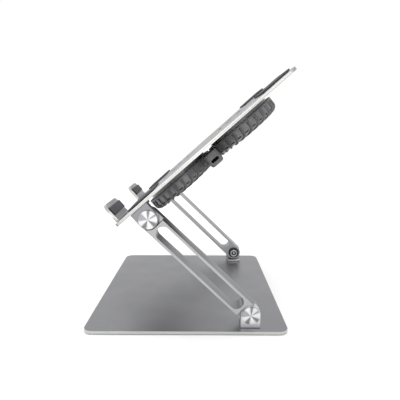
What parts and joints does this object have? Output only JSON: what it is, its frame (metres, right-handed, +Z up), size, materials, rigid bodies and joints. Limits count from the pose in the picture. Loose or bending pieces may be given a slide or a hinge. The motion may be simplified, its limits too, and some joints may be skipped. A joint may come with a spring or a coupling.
{
  "type": "laptop stand",
  "caption": "Folding laptop stand: flat base, slotted arms on friction hinges, a hooked tray with rubber pads, and caged cooling fans under it",
  "frame": {"origin": "centre of the base on the desk, under its rubber feet", "axes": "+Z up; +X the right-hand side; -Y the user's side, where the hooks are"},
  "size_m": [0.24, 0.21, 0.2617],
  "materials": {
    "grey_aluminium": "fine blasted, dark grey anodised, bright chamfers",
    "bright_steel": "turned face with radial glints",
    "steel": "plain zinc",
    "black_steel": "black oxide",
    "rubber": "matt silicone",
    "grey_plastic": "fine textured moulding",
    "black_plastic": "satin",
    "lead_rubber": "satin insulation",
    "circuit_board": "solder mask"
  },
  "bodies": {
    "base": {"base_plate": "grey_aluminium", "foot_front_right": "rubber", "foot_front_left": "rubber", "foot_rear_right": "rubber", "foot_rear_left": "rubber", "lower_bracket_right": "grey_aluminium", "lower_bracket_left": "grey_aluminium", "base_screw_front_right": "steel", "base_screw_front_left": "steel", "base_screw_rear_right": "steel", "base_screw_rear_left": "steel", "lower_bolt_right": "steel", "lower_bolt_left": "steel", "lower_cap_right": "bright_steel", "lower_cap_left": "bright_steel", "lower_washer_right": "black_steel", "lower_washer_left": "black_steel", "lower_nut_right": "steel", "lower_nut_left": "steel"},
    "arms": {"arm_right": "grey_aluminium", "arm_left": "grey_aluminium"},
    "tray_pivots": {"upper_bolt_right": "steel", "upper_bolt_left": "steel", "upper_cap_right": "bright_steel", "upper_cap_left": "bright_steel", "upper_washer_right": "black_steel", "upper_washer_left": "black_steel", "upper_nut_right": "steel", "upper_nut_left": "steel"},
    "tray": {"tray_plate": "grey_aluminium", "hook_pad_right": "rubber", "hook_pad_left": "rubber", "tray_pad_front_right": "rubber", "tray_pad_front_left": "rubber", "tray_pad_rear_right": "rubber", "tray_pad_rear_left": "rubber", "upper_bracket_right": "grey_aluminium", "upper_bracket_left": "grey_aluminium", "tray_screw_front_right": "steel", "tray_screw_front_left": "steel", "tray_screw_rear_right": "steel", "tray_screw_rear_left": "steel", "fan_screw_front_right": "steel", "fan_screw_front_left": "steel", "fan_screw_rear_right": "steel", "fan_screw_rear_left": "steel", "fan_guard_front": "grey_plastic", "fan_guard_rear": "grey_plastic", "fan_frame_front": "grey_plastic", "fan_frame_rear": "grey_plastic", "fan_lead_front": "lead_rubber", "fan_lead_rear": "lead_rubber", "control_box": "grey_plastic", "circuit_board": "circuit_board", "usb_receptacle": "steel"},
    "front_rotor": {"fan_rotor_front": "black_plastic"},
    "rear_rotor": {"fan_rotor_rear": "black_plastic"}
  },
  "joints": [
    {"name": "arm_lift", "type": "hinge", "parent": "base", "child": "arms", "pos_m": [0, 0.0665, 0.018], "axis": [1, 0, 0], "range_deg": [-36, 44.1]},
    {"name": "tray_level", "type": "hinge", "parent": "arms", "child": "tray_pivots", "pos_m": [0, -0.03655, 0.11786], "axis": [1, 0, 0], "range_deg": [-44.2, 36.1]},
    {"name": "tray_tilt", "type": "hinge", "parent": "tray_pivots", "child": "tray", "pos_m": [0, -0.03655, 0.11786], "axis": [1, 0, 0], "range_deg": [-41.35, 4]},
    {"name": "front_fan_spin", "type": "hinge", "parent": "tray", "child": "front_rotor", "pos_m": [0, -0.01276, 0.14866], "axis": [0, -0.6607, 0.7507], "continuous": true},
    {"name": "rear_fan_spin", "type": "hinge", "parent": "tray", "child": "rear_rotor", "pos_m": [0, 0.0605, 0.21314], "axis": [0, -0.6607, 0.7507], "continuous": true}
  ],
  "couplings": [
    {"joint": "tray_level", "follows": "arm_lift", "ratio": -1}
  ]
}
